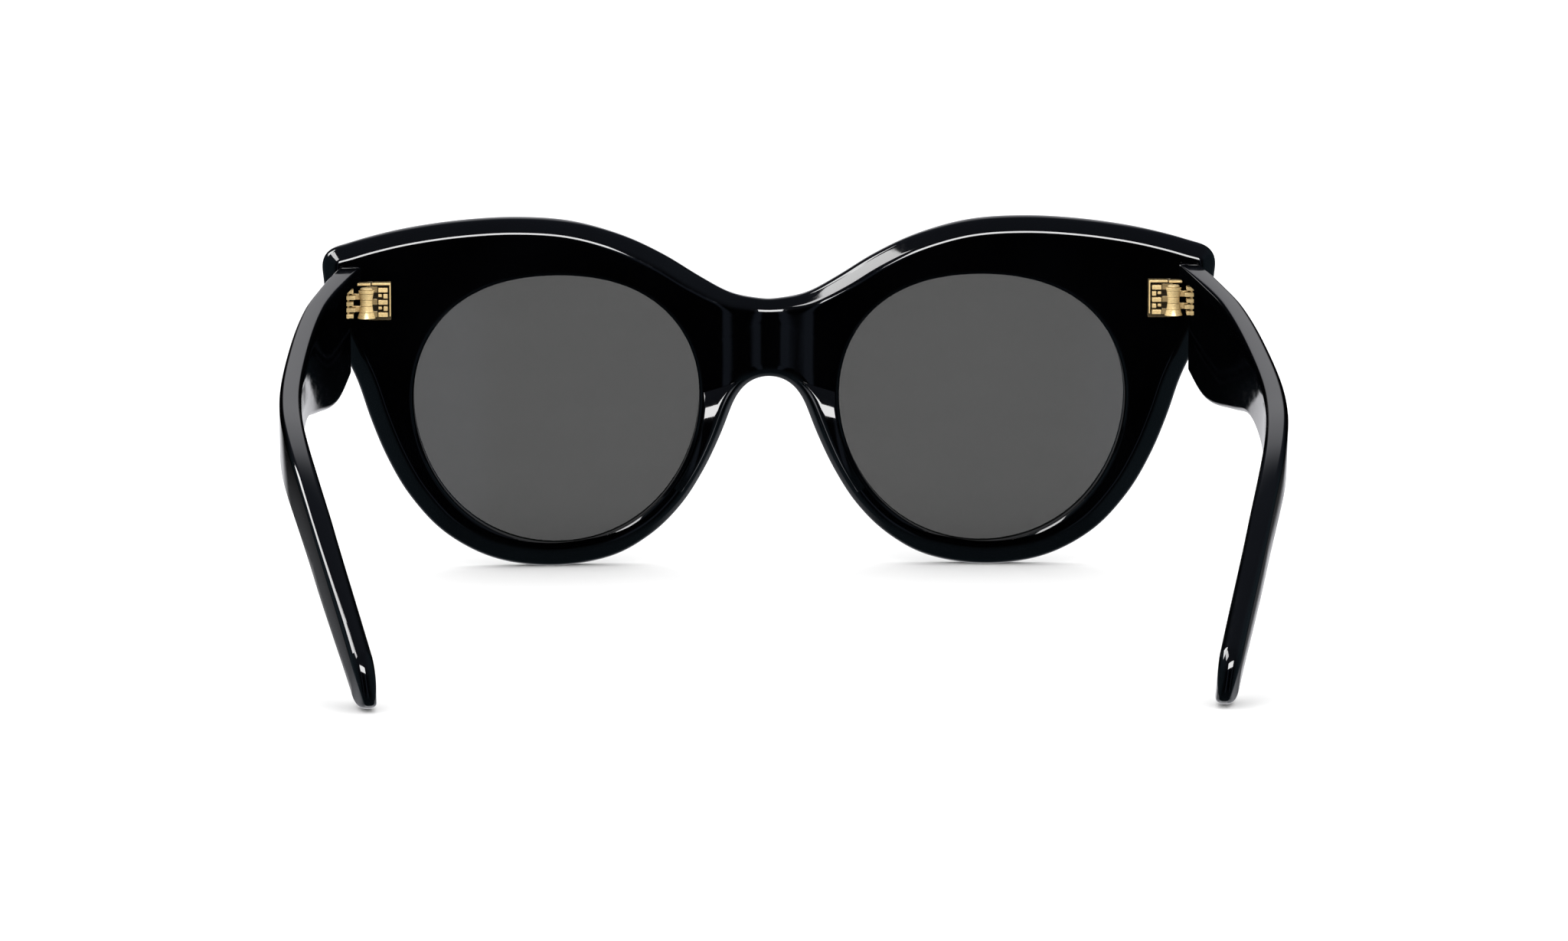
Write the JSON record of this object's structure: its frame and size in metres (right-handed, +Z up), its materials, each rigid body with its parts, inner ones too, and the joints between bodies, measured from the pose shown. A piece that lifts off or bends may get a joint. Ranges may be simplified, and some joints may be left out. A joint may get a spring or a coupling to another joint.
{
  "type": "cat eye sunglasses",
  "caption": "Cat eye sunglasses in black acetate with round grey lenses and folding temples on gold barrel hinges.",
  "frame": {"origin": "on the floor below the middle of the open glasses, which stand on their two rims and two temple tips", "axes": "+X towards the wearer's left, +Y back along the temples, +Z up"},
  "size_m": [0.156, 0.1465, 0.0584],
  "materials": {
    "acetate": "polished black cellulose acetate",
    "lens": "polished grey tinted lens",
    "hinge": "polished, gold plated",
    "screw": "polished, gold plated",
    "core_wire": "drawn nickel silver wire"
  },
  "bodies": {
    "front": {"front_frame": "acetate", "nose_pad_left": "acetate", "nose_pad_right": "acetate", "lens_left": "lens", "lens_right": "lens", "front_hinge_leaf_left": "hinge", "front_hinge_leaf_right": "hinge", "hinge_screw_left": "screw", "hinge_screw_right": "screw"},
    "left_temple": {"temple_left": "acetate", "core_wire_left": "core_wire", "temple_hinge_leaf_left": "hinge"},
    "right_temple": {"temple_right": "acetate", "core_wire_right": "core_wire", "temple_hinge_leaf_right": "hinge"}
  },
  "joints": [
    {"name": "left_fold", "type": "hinge", "parent": "front", "child": "left_temple", "pos_m": [0.0666, -0.0613, 0.0446], "axis": [0, 0, 1], "range_deg": [0, 89]},
    {"name": "right_fold", "type": "hinge", "parent": "front", "child": "right_temple", "pos_m": [-0.0666, -0.0613, 0.0446], "axis": [0, 0, -1], "range_deg": [0, 83]}
  ]
}
